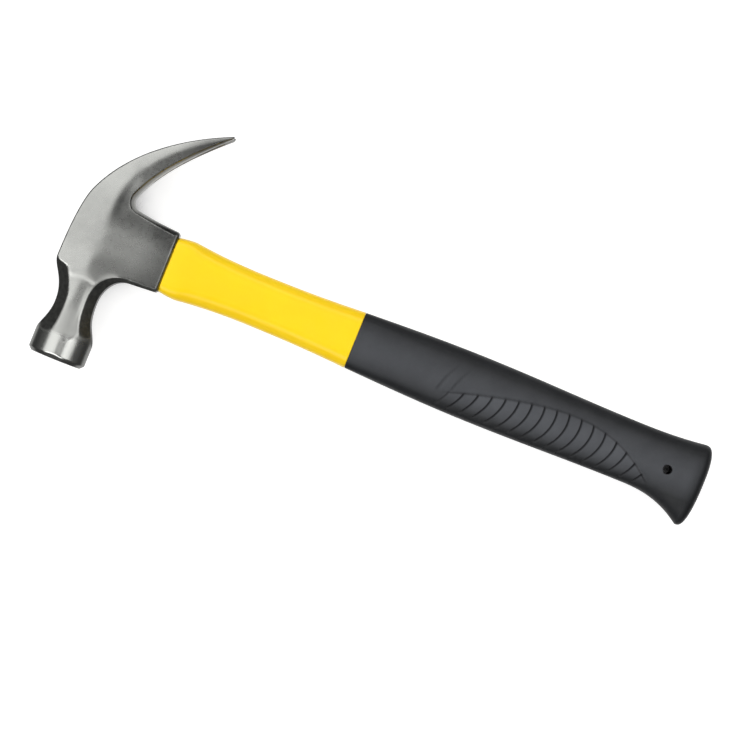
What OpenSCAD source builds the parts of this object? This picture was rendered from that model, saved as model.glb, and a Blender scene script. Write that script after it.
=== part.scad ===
// Claw hammer: forged steel head, fibreglass core, moulded plastic jacket and rubber grip.
// Millimetres. The hammer lies on its side: +X along the handle to the butt, +Y towards the claws, +Z up.
// Each piece is drawn from the crossing of the handle axis and the poll axis. It is then moved so that
// the origin lies under the middle of the hammer, on the plane that the hammer rests on.

/* [Overall] */
// Crown of the head to the end of the butt
overall_length = 330.8; // [324:0.2:340]
// Clearance between pieces that are bonded or moulded together
bond_line = 0.05; // [0.02:0.01:0.15]

/* [Poll and neck] */
// Diameter of the poll
poll_d = 28.7; // [27:0.1:30]
// Handle axis to the striking face
face_reach = 63.3; // [60:0.1:67]
// Bevel around the striking face
face_bevel = 1.8; // [0.6:0.1:3]
// Striking face to where the neck's facets have left the poll
poll_length = 8.3; // [6:0.1:10]
// Width of the neck's waist along the handle
neck_w = 18.9; // [17:0.1:20.5]
// Thickness of the neck's waist across the cheeks
neck_t = 24.6; // [22:0.1:26]
// Bevel of the neck's waist on the crown side
neck_bevel_crown = 4.7; // [3.5:0.1:5.6]
// Bevel of the neck's waist on the handle side
neck_bevel_handle = 6; // [4.5:0.1:6.6]

/* [Cheeks and socket] */
// Poll axis to the crown
crown_reach = 17.5; // [16.5:0.1:19]
// Poll axis to the mouth of the socket
mouth_reach = 33.7; // [31:0.1:37]
// Handle axis to the socket's edge at the mouth on the claw side
socket_claw_side = 16.2; // [15.4:0.1:17]
// Handle axis to the socket's edge at the mouth on the poll side
socket_poll_side = 15; // [14.4:0.1:15.8]
// Thickness across the cheeks at their ridge
cheek_t = 24.8; // [23:0.1:27]
// Thickness at the crown
crown_t = 20.6; // [19.6:0.1:22]
// Thickness at the mouth of the socket
mouth_t = 22.8; // [21.6:0.1:23]
// Bevel along the socket's edge on the poll side
socket_bevel = 1.2; // [0.6:0.1:2]
// Bevel along the socket's edge and the claws on the handle side
claw_bevel = 1.8; // [0.8:0.1:2.4]
// Small bevel along the crown and the back of the claws
edge_break = 0.6; // [0.3:0.1:1]
// Width of the eye at the mouth
eye_w = 23; // [21.6:0.1:24]
// Thickness of the eye at the mouth
eye_t = 15.4; // [14.4:0.1:16]
// How much narrower the eye is all round at its waist
eye_waist = 0.9; // [0.3:0.1:1.2]

/* [Claws] */
// Poll axis to the claw tips along the handle
tip_reach = 41; // [38:0.2:44]
// Handle axis to the claw tips
tip_rise = 69; // [66:0.2:73]
// Thickness of the claws at their tips
tip_t = 2; // [1.6:0.1:3]
// Width across both claws at their tips
claw_spread = 30; // [29.4:0.2:33]
// Poll axis to the middle of the crotch under the claws
crotch_reach = 11.7; // [10.5:0.1:13]
// Handle axis to the middle of the crotch under the claws
crotch_rise = 22.9; // [22:0.1:24.5]
// Radius of the crotch under the claws
crotch_r = 4.4; // [3.4:0.1:5]
// Gap between the claws at their tips
slot_tip_gap = 14; // [11:0.2:16]
// Gap between the claws at the root of the nail slot
slot_root_gap = 2.6; // [1.8:0.1:4]
// Share of the claws that the nail slot leaves whole at its root
slot_root = 0.24; // [0.18:0.01:0.4]
// Bevel of the nail slot on the inner side of the claws
slot_bevel = 1.5; // [0.6:0.1:2]

/* [Core and jacket] */
// Width of the fibreglass core
core_w = 17.2; // [15:0.1:18]
// Thickness of the fibreglass core
core_t = 11.2; // [9.6:0.1:12]
// Width of the jacket at the head
jacket_mouth_w = 27.7; // [26:0.1:29]
// Thickness of the jacket at the head
jacket_mouth_t = 20; // [18.6:0.1:21]
// Width of the jacket's shoulder just behind the head
shoulder_w = 29.7; // [28:0.1:31]
// Mouth of the socket to the widest place of the shoulder
shoulder_at = 9; // [7:0.1:13]
// Width of the jacket's waist
waist_w = 25.4; // [24.4:0.1:27]
// Thickness of the jacket's waist
waist_t = 18.8; // [17.8:0.1:20]
// Mouth of the socket to the jacket's waist
waist_at = 46; // [40:0.5:55]
// Bevel along the jacket's corners at the head
mouth_bevel = 2.2; // [1.6:0.1:3]
// Bevel along the jacket's corners between the shoulder and the grip
jacket_bevel = 4.3; // [3:0.1:5]
// Width of the jacket's thin sleeve under the grip
sleeve_w = 22.4; // [21.4:0.1:24]
// Thickness of the jacket's thin sleeve under the grip
sleeve_t = 16.4; // [15.4:0.1:17.6]

/* [Grip] */
// Poll axis to the front of the grip
grip_at = 131; // [124:0.5:136]
// Width where the jacket meets the grip
grip_front_w = 28.6; // [27.6:0.1:30]
// Thickness where the jacket meets the grip
grip_front_t = 21.8; // [21:0.1:23.4]
// Width of the grip's belly
belly_w = 32.5; // [31:0.1:34]
// Thickness of the grip's belly
belly_t = 25.2; // [24:0.1:27]
// Front of the grip to its belly
belly_at = 64; // [56:0.5:72]
// Width of the grip where the butt begins to flare
wrist_w = 30; // [29:0.1:31]
// Thickness of the grip where the butt begins to flare
wrist_t = 23.4; // [22:0.1:25]
// Length of the flared butt
flare_length = 38; // [34:0.5:40]
// Handle axis to the butt's corner on the claw side
butt_claw_side = 17; // [16:0.1:19]
// Handle axis to the butt's corner on the poll side
butt_poll_side = 24.3; // [21:0.1:26]
// Thickness of the butt
butt_t = 29.2; // [27:0.1:31]
// Length of the rounding at the end of the butt
butt_round = 5.8; // [4.6:0.1:8]
// Thickness of rubber between the end of the core and the end of the butt
butt_wall = 29; // [26.5:0.1:32]
// Diameter of the hanging hole
hole_d = 4.1; // [3:0.1:5]
// End of the butt to the middle of the hanging hole
hole_from_end = 19.4; // [16:0.1:21]
// Handle axis to the middle of the hanging hole
hole_offset = 1.2; // [0:0.1:3]

/* [Scale ribs] */
// Distance from one scale to the next
scale_pitch = 6.36; // [6:0.02:6.6]
// Number of scales
scale_count = 18; // [12:1:18]
// Depth of the step under each scale
scale_depth = 0.9; // [0.3:0.05:1.2]
// Front of the grip to the first scale
scale_at = 45.9; // [40:0.1:47]
// Handle axis to the top of the scaled leaf
leaf_top = 5.6; // [3:0.1:8]

/* [Hidden] */
// Points around a ring of the handle pieces
around = 36;
// Corner exponents of the sleeve under the grip, the grip, the eye and the jacket's bevelled section
squareness = 3;
grip_squareness = 2.4;
eye_squareness = 3.2;
facet_squareness = 16;
// How far cutting shapes pass the surfaces that they cut
over = 4;
// Crossing of the axes to the end of the butt
butt_end = overall_length - crown_reach;
// Middle plane above the plane that the hammer rests on
rest_height = max(claw_spread, poll_d, butt_t) / 2;
// The neck's waist: distance from the handle axis, shift towards the crown and lean
waist_reach = 33.75;
neck_shift = 0.95;
waist_lean = 3.25;
waist_crown = [-neck_w / 2 - neck_shift, -waist_reach - waist_lean];
waist_handle = [neck_w / 2 - neck_shift, -waist_reach + waist_lean];
// Where the neck's facets run out, just outside the round poll: at its sides and across the cheeks
flare_out = poll_d / 2 + 1.65;
flare_half = poll_d / 2 + 0.55;
flare_y = poll_length - face_reach;
// Bevel of the neck's facets where they run out
flare_bevel = 7;
// Corner where the neck ends and the crown begins
crown_corner = [-crown_reach, -15.5];
// Place on the back where the crown passes into the claws, and the heading there
knee = [3.95 - crown_reach, 20.7];
knee_angle = 67.3;
// Outer and inner edge of the claw tips, which end square to this heading
tip_angle = -110;
tip_out = [tip_reach, tip_rise];
tip_in = tip_out + tip_t * [cos(tip_angle), sin(tip_angle)];
// Crotch under the claws: its middle, and the directions in which its arc starts and ends
crotch = [crotch_reach, crotch_rise];
crotch_start = 261;
crotch_end = 160;
// Ridge of the cheeks, near the poll axis
ridge_x = -0.5;
// Fall of the claws' sides from their ridge to the inner edge
claw_fall = 1.4;
// Foot of the fillet between the neck and the socket
fillet_foot = [20.5, -socket_poll_side - 0.85];
// Corners of the socket's mouth are cut by this much
mouth_corner = 1;
// Shapes of the head's curves: heading and pull at the start, heading and pull at the end
crown_side_low = [69, 0.35, 90, 0.34];
crown_side_high = [90, 0.534, 90, 0.28];
crown_shape = [90, 0.38, knee_angle, 0.213];
claw_back_shape = [knee_angle, 0.355, 23.1, 0.305];
handle_side_low = [108.6, 0.49, 90, 0.51];
fillet_shape = [90, 0.325, 0, 0.46];
socket_top_shape = [176, 0.44, 171, 0.5];
claw_inner_shape = [crotch_end - 90, 0.315, 43.3, 0.32];
// The core starts this far inside the crown; it ends with the jacket's sleeve inside the grip
core_start = 2.5 - crown_reach;
core_end = butt_end - butt_wall;
// Extra thickness of the jacket at its shoulder
shoulder_rise = 1;
// Length behind the head in which the jacket's bevels open out, and in which the grip turns oval
bevel_run = 16;
oval_run = 34;
// Power of the jacket's hollow on both sides of its waist
hollow = 2.2;
// The jacket's shoulder and waist
jacket_front = mouth_reach + bond_line;
shoulder_x = mouth_reach + shoulder_at;
waist_x = mouth_reach + waist_at;
// The grip's belly, the start of its flare and the start of its rounded end
belly_x = grip_at + belly_at;
wrist_x = butt_end - flare_length;
round_x = butt_end - butt_round;
// Powers of the butt's flare on the claw side, on the poll side and in its thickness
claw_side_power = 2.2;
poll_side_power = 2.5;
thickness_power = 2.4;
// Powers of the butt's rounded end, along the handle and across it
round_long = 3;
round_across = 2.4;
// The scaled leaf: its ends, the place of its top, its height and the width of its soft edge
scale_x = grip_at + scale_at;
scale_end = scale_x + scale_pitch * scale_count;
leaf_peak = 0.58;
leaf_x = blend(scale_x, scale_end, leaf_peak);
leaf_height = 15.5;
leaf_edge_w = 1.4;
// The scales fade out towards this distance from the axis on the poll side, over this width
leaf_foot = 15;
leaf_foot_w = 3;
// Each scale line is a bow that leads furthest to the butt at this height
bend_from = 1.2;
bend = 0.026;
// Places in each scale and the share of the depth there: a climb, then a step under the next scale
scale_steps = [[0, 1], [0.42, 0.42], [0.9, 0]];
// Rows of points along the parts of the head's outline
low_rows = 9;
high_rows = 12;
edge_rows = 3;
mouth_rows = 6;
top_rows = 5;
arc_rows = 8;
claw_rows = 16;
slot_rows = 12;

// Curves and blends
function heading(a) = [cos(a), sin(a)];
function ease(t) = let (u = min(1, max(0, t))) u * u * (3 - 2 * u);
function blend(a, b, t) = a + (b - a) * t;
function shares(a, b, n) = [for (i = [0 : n - 1]) a + (b - a) * i / n];
function bow(p, q, shape) = let (d = norm(q - p))
    [p, p + shape[1] * d * heading(shape[0]), q - shape[3] * d * heading(shape[2]), q];
function bezier(c, t) = pow(1 - t, 3) * c[0] + 3 * pow(1 - t, 2) * t * c[1]
    + 3 * (1 - t) * t * t * c[2] + t * t * t * c[3];
function trace(c, n) = [for (t = shares(0, 1, n)) bezier(c, t)];
function reversed(list) = [for (j = [len(list) - 1 : -1 : 0]) list[j]];

// A solid through rings that all have the same number of points, closed by a fan at each end
module loft(rings) {
    n = len(rings[0]);
    last = len(rings) - 1;
    points = concat([for (r = rings) each r], [middle(rings[0]), middle(rings[last])]);
    sides = [for (i = [0 : last - 1]) for (j = [0 : n - 1]) let (k = (j + 1) % n)
        each [[i * n + j, i * n + k, (i + 1) * n + k], [i * n + j, (i + 1) * n + k, (i + 1) * n + j]]];
    first_fan = [for (j = [0 : n - 1]) [len(points) - 2, (j + 1) % n, j]];
    last_fan = [for (j = [0 : n - 1]) [len(points) - 1, last * n + j, last * n + (j + 1) % n]];
    polyhedron(points, concat(sides, first_fan, last_fan));
}
// A ring made of a row of points above the middle plane and their mirror images below it
function mirrored(half) = concat([for (p = half) [p.x, p.y, -p.z]], reversed(half));
function middle(ring) = [for (a = [0 : 2]) let (v = [for (p = ring) p[a]]) (min(v) + max(v)) / 2];

// Rounded section of the handle: height above and below the axis, half thickness, corner exponent
function oval(x, up, down, half_t, e) = [for (i = [0 : around - 1]) let (a = 360 * i / around)
    [x, (sin(a) > 0 ? up : down) * sign(sin(a)) * pow(abs(sin(a)), 2 / e),
        half_t * sign(cos(a)) * pow(abs(cos(a)), 2 / e)]];

// Bevelled section of the handle: half width, half thickness and bevel
function faceted(x, half_w, half_t, bevel) = [for (i = [0 : around - 1]) let (
    y = sin(360 * i / around),
    z = cos(360 * i / around),
    e = facet_squareness,
    flats = pow(abs(y) / half_w, e) + pow(abs(z) / half_t, e),
    reach = pow(flats + pow((abs(y) + abs(z)) / (half_w + half_t - bevel), e), -1 / e))
    [x, reach * y, reach * z]];

module place() translate([crown_reach - overall_length / 2, (face_reach - tip_rise) / 2, rest_height])
    children();

// Head: the two outlines seen from the side, as matching rows of points from the poll to the claw tips
crown_curve = bow(crown_corner, knee, crown_shape);
claw_back = bow(knee, tip_out, claw_back_shape);
claw_inner = bow(crotch + crotch_r * heading(crotch_end), tip_in, claw_inner_shape);
crown_shares = concat(shares(0, 0.06, edge_rows), shares(0.06, 0.56, mouth_rows),
    shares(0.56, 0.66, top_rows), shares(0.66, 1, arc_rows));
outer_edge = concat(
    [[-flare_out, -face_reach - over]],
    trace(bow([-flare_out, flare_y], waist_crown, crown_side_low), low_rows),
    trace(bow(waist_crown, crown_corner, crown_side_high), high_rows),
    [for (t = crown_shares) bezier(crown_curve, t)],
    trace(claw_back, claw_rows),
    [tip_out]);
mouth_low = [mouth_reach - mouth_corner, -socket_poll_side];
mouth_high = [mouth_reach - mouth_corner, socket_claw_side];
mouth_start = [mouth_reach, mouth_corner - socket_poll_side];
mouth_end = [mouth_reach, socket_claw_side - mouth_corner];
inner_edge = concat(
    [[flare_out, -face_reach - over]],
    trace(bow([flare_out, flare_y], waist_handle, handle_side_low), low_rows),
    trace(bow(waist_handle, fillet_foot, fillet_shape), high_rows),
    [for (t = shares(0, 1, edge_rows)) blend(fillet_foot, mouth_low, t)],
    [mouth_low],
    [for (t = shares(0, 1, mouth_rows - 2)) blend(mouth_start, mouth_end, t)],
    [mouth_end],
    trace(bow(mouth_high, crotch + crotch_r * heading(crotch_start), socket_top_shape), top_rows),
    [for (t = shares(0, 1, arc_rows)) crotch + crotch_r * heading(blend(crotch_start, crotch_end, t))],
    trace(claw_inner, claw_rows),
    [tip_in]);

// Width of the bevel inside each point of the two outlines
outer_bevel = concat(
    [flare_bevel],
    [for (t = shares(0, 1, low_rows)) blend(flare_bevel, neck_bevel_crown, ease(t))],
    [for (t = shares(0, 1, high_rows)) blend(neck_bevel_crown, edge_break, ease((t - 0.6) / 0.4))],
    [for (k = [0 : len(crown_shares) + claw_rows]) edge_break]);
inner_bevel = concat(
    [flare_bevel],
    [for (t = shares(0, 1, low_rows)) blend(flare_bevel, neck_bevel_handle, ease(t))],
    [for (t = shares(0, 1, high_rows)) blend(neck_bevel_handle, socket_bevel, pow(ease(t), 1.3))],
    [for (k = [1 : edge_rows + mouth_rows]) socket_bevel],
    [for (k = [1 : top_rows + arc_rows]) claw_bevel],
    [for (t = shares(0, 1, claw_rows)) blend(claw_bevel, edge_break, t * t)],
    [edge_break]);

// Half thickness of the cheeks: highest along the ridge, falling to the crown and to the mouth
crown_fall = (cheek_t - crown_t) / 2;
mouth_fall = (cheek_t - mouth_t) / 2;
function cheek_half(x) = cheek_t / 2 - (x < ridge_x
    ? crown_fall * (ridge_x - x) / (ridge_x + crown_reach)
    : mouth_fall * (x - ridge_x) / (mouth_reach - ridge_x));
// Half thickness at a row: neck flaring to the poll, neck rising to the cheeks, cheeks, claws.
// side is -1 at the outer edge, 0 at the ridge and 1 at the inner edge
first_high = 1 + low_rows;
first_cheek = first_high + high_rows;
first_claw = first_cheek + len(crown_shares);
function neck_half(k) = blend(neck_t / 2, flare_half, pow(1 - max(0, k - 1) / low_rows, 2));
function claw_half(t, side) = blend(cheek_t, claw_spread, pow(t, 1.2)) / 2
    - (side < 0 ? crown_fall * blend(0.72, 0.4, t)
        : side > 0 ? claw_fall * ease(t * 5) * blend(1, 0.5, t) : 0);
function half_at(k, x, side) = k < first_high ? neck_half(k)
    : k < first_cheek ? blend(neck_t / 2, cheek_half(x), ease((k - first_high) / high_rows))
    : k <= first_claw ? cheek_half(x)
    : claw_half((k - first_claw) / claw_rows, side);

// A point inside an outline by the bevel's width
function turn(path, k) = let (d = path[min(k + 1, len(path) - 1)] - path[max(k - 1, 0)]) d / norm(d);
function inset(path, k, width, side) = let (d = turn(path, k)) path[k] + width * side * [d.y, -d.x];

// Half a ring of the head: wall, bevel, soft ridge, bevel and wall, above the middle plane.
// ridge_steps gives places between the ridge and an edge, with the share of the fall there
ridge_steps = [[0.35, 0.25], [0.7, 0.64]];
function soft_side(r, zr, f, zf) = [for (s = ridge_steps) let (p = blend(r, f, s[0]))
    [p.x, p.y, blend(zr, zf, s[1])]];
function head_half(k) = let (
    o = outer_edge[k],
    i = inner_edge[k],
    fo = inset(outer_edge, k, outer_bevel[k], 1),
    fi = inset(inner_edge, k, inner_bevel[k], -1),
    r = blend(fo, fi, k <= first_claw ? (ridge_x - fo.x) / (fi.x - fo.x) : 0.5),
    zo = half_at(k, fo.x, -1),
    zr = half_at(k, r.x, 0),
    zi = half_at(k, fi.x, 1))
    concat([[o.x, o.y, zo - outer_bevel[k]], [fo.x, fo.y, zo]], reversed(soft_side(r, zr, fo, zo)),
        [[r.x, r.y, zr]], soft_side(r, zr, fi, zi), [[fi.x, fi.y, zi], [i.x, i.y, zi - inner_bevel[k]]]);
head_rings = [for (k = [0 : len(outer_edge) - 1]) mirrored(head_half(k))];

// The round poll with its bevelled face, and room for the rest of the head above the neck's waist
module poll_limit() {
    rotate([90, 0, 0]) rotate_extrude($fn = 96)
        polygon([[0, 0], [poll_d / 2, 0], [poll_d / 2, face_reach - face_bevel],
            [poll_d / 2 - face_bevel, face_reach], [0, face_reach]]);
    translate([-crown_reach - over, -waist_reach, -rest_height - over])
        cube([crown_reach + tip_reach + 2 * over, waist_reach + tip_rise + over, 2 * (rest_height + over)]);
}

// The eye: a tapered hole with a waist, from the mouth to the crown
function eye_ring(x, size, gap) = oval(x, eye_w / 2 + size - gap, eye_w / 2 + size - gap,
    eye_t / 2 + size - gap, eye_squareness);
module eye_space(from, to, gap) {
    loft([
        eye_ring(from, -eye_waist / 3, gap),
        eye_ring(mouth_reach / 3, -eye_waist, gap),
        eye_ring(to, 0, gap)]);
}

// V-shaped nail slot, bevelled on the inner side of the claws from halfway through them
function slot_ring(back, front, half) = let (d = norm(front - back), u = (front - back) / d,
    steps = [[-over, half], [d / 2, half], [d, half + slot_bevel], [d + over, half + slot_bevel]])
    mirrored([for (s = steps) let (p = back + u * s[0]) [p.x, p.y, s[1]]]);
past_tip = 2 * over * heading(tip_angle + 143);
module nail_slot() loft(concat(
    [for (j = [0 : slot_rows]) let (t = blend(slot_root, 1, j / slot_rows),
        gap = blend(slot_root_gap, slot_tip_gap, j / slot_rows))
        slot_ring(bezier(claw_back, t), bezier(claw_inner, t), gap / 2)],
    [slot_ring(tip_out + past_tip, tip_in + past_tip, slot_tip_gap / 2)]));

module head() color("silver") place() difference() {
    intersection() {
        loft(head_rings);
        poll_limit();
    }
    eye_space(-crown_reach - over, mouth_reach + over, 0);
    nail_slot();
}

// Fibreglass core: flat sides with full-round edges, from the crown to the butt
module core_rod(gap) {
    r = core_t / 2 + gap;
    offset_y = (core_w - core_t) / 2;
    translate([core_start, 0, 0]) rotate([90, 0, 90]) linear_extrude(core_end - core_start) {
        square([2 * offset_y, 2 * r], center = true);
        for (s = [-1, 1]) translate([s * offset_y, 0]) circle(r, $fn = 64);
    }
}

module core() color("tan") place() core_rod(0);

// Epoxy that fills the eye around the core
module eye_bond() color("goldenrod") place() difference() {
    eye_space(core_start, mouth_reach, bond_line);
    core_rod(bond_line);
}

// Jacket: shoulder behind the head, waist, rise to the grip, then a thin sleeve under the grip
function jacket_size(x, mouth, shoulder, waist, rear) =
    x < shoulder_x ? blend(mouth, shoulder, sin(90 * (x - jacket_front) / (shoulder_x - jacket_front)))
    : x < waist_x ? blend(waist, shoulder, pow((waist_x - x) / (waist_x - shoulder_x), hollow))
    : blend(waist, rear, pow((x - waist_x) / (grip_at - waist_x), hollow));
function jacket_ring(x) = let (
    half_w = jacket_size(x, jacket_mouth_w, shoulder_w, waist_w, grip_front_w) / 2,
    half_t = jacket_size(x, jacket_mouth_t, jacket_mouth_t + shoulder_rise, waist_t, grip_front_t) / 2)
    faceted(x, half_w, half_t, blend(mouth_bevel, jacket_bevel, ease((x - jacket_front) / bevel_run)));
function sleeve_ring(x, gap) = let (half_w = sleeve_w / 2 + gap)
    oval(x, half_w, half_w, sleeve_t / 2 + gap, squareness);
module jacket() color("gold") place() difference() {
    loft(concat(
        [for (x = shares(jacket_front, shoulder_x, 5)) jacket_ring(x)],
        [for (x = shares(shoulder_x, waist_x, 9)) jacket_ring(x)],
        [for (x = shares(waist_x, grip_at, 7)) jacket_ring(x)],
        [jacket_ring(grip_at), sleeve_ring(grip_at, 0), sleeve_ring(core_end, 0)]));
    core_rod(bond_line);
}

// Grip: belly, wrist and flared butt, with a leaf of overlapping scales on the poll side
function swell(x, front, belly, wrist) = x < belly_x
    ? blend(front, belly, sin(90 * max(0, x - grip_at) / belly_at))
    : blend(belly, wrist, (1 - cos(180 * min(1, (x - belly_x) / (wrist_x - belly_x)))) / 2);
function flared(x, rise, power) = rise
    * pow(max(0, min(x, round_x) - wrist_x) / (round_x - wrist_x), power);
function rounded(x) = x < round_x ? 1 : pow(1 - pow((x - round_x) / butt_round, round_long), 1 / round_across);
function grip_side(x, butt, power) = rounded(x)
    * (swell(x, grip_front_w, belly_w, wrist_w) / 2 + flared(x, butt - wrist_w / 2, power));
function grip_up(x) = grip_side(x, butt_claw_side, claw_side_power);
function grip_down(x) = grip_side(x, butt_poll_side, poll_side_power);
function grip_half(x) = rounded(x)
    * (swell(x, grip_front_t, belly_t, wrist_t) + flared(x, butt_t - wrist_t, thickness_power)) / 2;
// Upper edge of the leaf, and how deep a point lies inside it
function leaf_edge(x) = leaf_top - leaf_height * (x < leaf_x
    ? pow((leaf_x - x) / (leaf_x - scale_x), 1.8) : pow((x - leaf_x) / (scale_end - leaf_x), hollow));
function in_leaf(x, y) = ease((leaf_edge(x) - y) / leaf_edge_w) * ease((y + leaf_foot) / leaf_foot_w);
// Section of the grip: bevelled as the jacket at the front, then oval
function grip_section(x) = let (
    bevelled = faceted(x, grip_up(x), grip_half(x), jacket_bevel),
    smooth = oval(x, grip_up(x), grip_down(x), grip_half(x), grip_squareness),
    turned = ease((x - grip_at) / oval_run))
    [for (i = [0 : around - 1]) blend(bevelled[i], smooth[i], turned)];
// One ring, bent along the scale lines by a share and sunk by a depth where it lies in the leaf
function grip_ring(x, share, depth) = [for (p = grip_section(x))
    let (q = x - share * bend * pow(p.y - bend_from, 2),
        y = p.y * (p.y > 0 ? grip_up(q) / grip_up(x) : grip_down(q) / grip_down(x)),
        z = p.z * grip_half(q) / grip_half(x),
        sunk = depth > 0 ? 1 - depth * in_leaf(x, y) / norm([y, z]) : 1)
    [q, y * sunk, z * sunk]];
// Share of the bend: none at the front, full along the scales, none at the butt
function bend_share(x) = ease((x - grip_at) / scale_at)
    * (1 - ease((x - scale_end) / (round_x - scale_end)));
grip_front = grip_at + bond_line;
module grip() color("dimgray") place() difference() {
    loft(concat(
        [sleeve_ring(core_end + bond_line, bond_line), sleeve_ring(grip_front, bond_line)],
        [for (x = shares(grip_front, scale_x, 8)) grip_ring(x, bend_share(x), 0)],
        [for (n = [0 : scale_count - 1]) for (s = scale_steps)
            let (x = scale_x + scale_pitch * (n + s[0])) grip_ring(x, bend_share(x), scale_depth * s[1])],
        [for (x = shares(scale_end, round_x, 7)) grip_ring(x, bend_share(x), 0)],
        [for (t = [0, 0.3, 0.5, 0.68, 0.83, 0.94, 0.99]) grip_ring(round_x + butt_round * t, 0, 0)]));
    translate([butt_end - hole_from_end, -hole_offset, -rest_height - over])
        cylinder(d = hole_d, h = 2 * (rest_height + over), $fn = 48);
}

head();
core();
eye_bond();
jacket();
grip();
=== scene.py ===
"""Claw hammer: forged steel head, fibreglass core set in epoxy, moulded jacket and ribbed rubber grip.

Shapes are drawn in millimetres from the crossing of the handle axis and the poll axis, with the middle
plane of the hammer at z = 0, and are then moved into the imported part's frame, in metres.
"""
import math

import bpy
import numpy as np
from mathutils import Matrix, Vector


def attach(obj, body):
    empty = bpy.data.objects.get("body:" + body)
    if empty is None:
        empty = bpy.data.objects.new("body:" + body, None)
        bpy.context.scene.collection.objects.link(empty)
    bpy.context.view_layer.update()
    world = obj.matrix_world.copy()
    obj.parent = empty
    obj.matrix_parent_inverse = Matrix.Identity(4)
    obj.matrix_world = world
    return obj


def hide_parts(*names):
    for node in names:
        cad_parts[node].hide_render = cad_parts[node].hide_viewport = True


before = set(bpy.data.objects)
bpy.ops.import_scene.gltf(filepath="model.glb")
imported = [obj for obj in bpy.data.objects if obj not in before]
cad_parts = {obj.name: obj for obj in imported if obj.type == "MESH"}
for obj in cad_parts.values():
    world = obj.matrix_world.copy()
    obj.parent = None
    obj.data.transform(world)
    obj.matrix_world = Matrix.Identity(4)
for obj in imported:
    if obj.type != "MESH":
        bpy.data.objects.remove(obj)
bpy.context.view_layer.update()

# From the drawing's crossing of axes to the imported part's frame, in millimetres
DRAWING_TO_PART = np.array([-147.9, -2.85, 15.0])


# Small sums that every piece uses

def ease(t):
    """Smooth step from 0 to 1."""
    u = np.clip(t, 0.0, 1.0)
    return u * u * (3 - 2 * u)


def blend(a, b, t):
    return a + (b - a) * t


def window(value, low, high, soft_low, soft_high):
    """1 between two limits, easing to 0 at each of them over a soft stretch."""
    return ease((value - low) / soft_low) * ease((high - value) / soft_high)


def progress(value, start, end):
    """Share of the way from start to end, no less than 0 and no more than 1."""
    return np.clip((value - start) / (end - start), 0, 1)


def heading(degrees):
    angle = math.radians(degrees)
    return np.array([math.cos(angle), math.sin(angle)])


def soft_min(a, b, radius):
    """The smaller of two distances, with the crease between them rounded."""
    near = np.maximum(radius - np.abs(a - b), 0.0) / radius
    return np.minimum(a, b) - near * near * radius / 4


def soft_positive(a, radius):
    """max(a, 0) with a rounded corner."""
    return 0.5 * (a + np.sqrt(a * a + radius * radius))


def bow(start, end, shape, count):
    """A cubic curve. shape: heading at the start, its pull, heading at the end, its pull."""
    start, end = np.array(start, float), np.array(end, float)
    chord = np.linalg.norm(end - start)
    leave = start + shape[1] * chord * heading(shape[0])
    arrive = end - shape[3] * chord * heading(shape[2])
    t = np.linspace(0, 1, count)[:, None]
    return ((1 - t) ** 3 * start + 3 * (1 - t) ** 2 * t * leave
            + 3 * (1 - t) * t * t * arrive + t ** 3 * end)


# Meshes

def to_part(points_mm):
    """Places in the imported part's frame, in metres."""
    return (np.asarray(points_mm) + DRAWING_TO_PART) / 1000


def new_object(name, points, faces):
    """An object with its own smooth mesh."""
    mesh = bpy.data.meshes.new(name)
    mesh.from_pydata(points.tolist(), [], faces)
    mesh.polygons.foreach_set("use_smooth", [True] * len(mesh.polygons))
    mesh.update()
    made = bpy.data.objects.new(name, mesh)
    bpy.context.scene.collection.objects.link(made)
    return made


def make_piece(name, points_mm, faces, material, node, slot, normals=None):
    """A finished piece: its place is in its mesh, it rides on the part and stands for a CAD node."""
    return dress(new_object(name, to_part(points_mm), faces), material, node, normals)


def dress(piece, material, node, normals=None):
    mesh = piece.data
    mesh.materials.clear()
    mesh.materials.append(material)
    mark_rims(mesh)
    if normals is not None:
        mesh.normals_split_custom_set_from_vertices(normals.tolist())
    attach(piece, "root")
    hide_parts(node)
    return piece


def read_points(mesh, what):
    """A vector for every point of a mesh: its place (co) or its normal."""
    values = np.empty(len(mesh.vertices) * 3)
    mesh.vertices.foreach_get(what, values)
    return values.reshape(-1, 3)


def write_layer(mesh, label, values):
    """Keeps a value for every point, which a material reads by its name."""
    layer = mesh.attributes.new(label, "FLOAT", "POINT")
    layer.data.foreach_set("value", values.astype(np.float32))


def mark_rims(mesh):
    """Writes how strongly each point lies on an outward edge, for the wear on the materials."""
    count = len(mesh.vertices)
    places = read_points(mesh, "co") * 1000
    normals = read_points(mesh, "normal")
    pairs = np.empty(len(mesh.edges) * 2, np.int32)
    mesh.edges.foreach_get("vertices", pairs)
    pairs = pairs.reshape(-1, 2)
    a, b = np.concatenate([pairs, pairs[:, ::-1]]).T
    step = places[b] - places[a]
    length = np.maximum((step ** 2).sum(1), 1e-6)
    bend = -2 * (step * normals[a]).sum(1) / length
    total = np.bincount(a, bend, count) / np.maximum(np.bincount(a, minlength=count), 1)
    write_layer(mesh, "rim", ease((total - 0.15) / 0.9))


def rows_to_faces(rows, around, closed_rows=False):
    """Four-sided faces between rings of points, each closed around."""
    i, j = np.meshgrid(np.arange(rows if closed_rows else rows - 1), np.arange(around), indexing="ij")
    next_row, next_point = (i + 1) % rows, (j + 1) % around
    corners = [i * around + j, i * around + next_point,
               next_row * around + next_point, next_row * around + j]
    return np.stack([c.ravel() for c in corners], 1)


def inside_out(points, faces):
    """True where the volume inside closed faces comes out negative, so that they point inwards."""
    corners = np.array([[*face, face[-1]][:4] for face in faces])
    a, b, c, d = (points[corners[:, k]] for k in range(4))
    return (np.cross(a, b) * c).sum() + (np.cross(a, c) * d).sum() < 0


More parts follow.
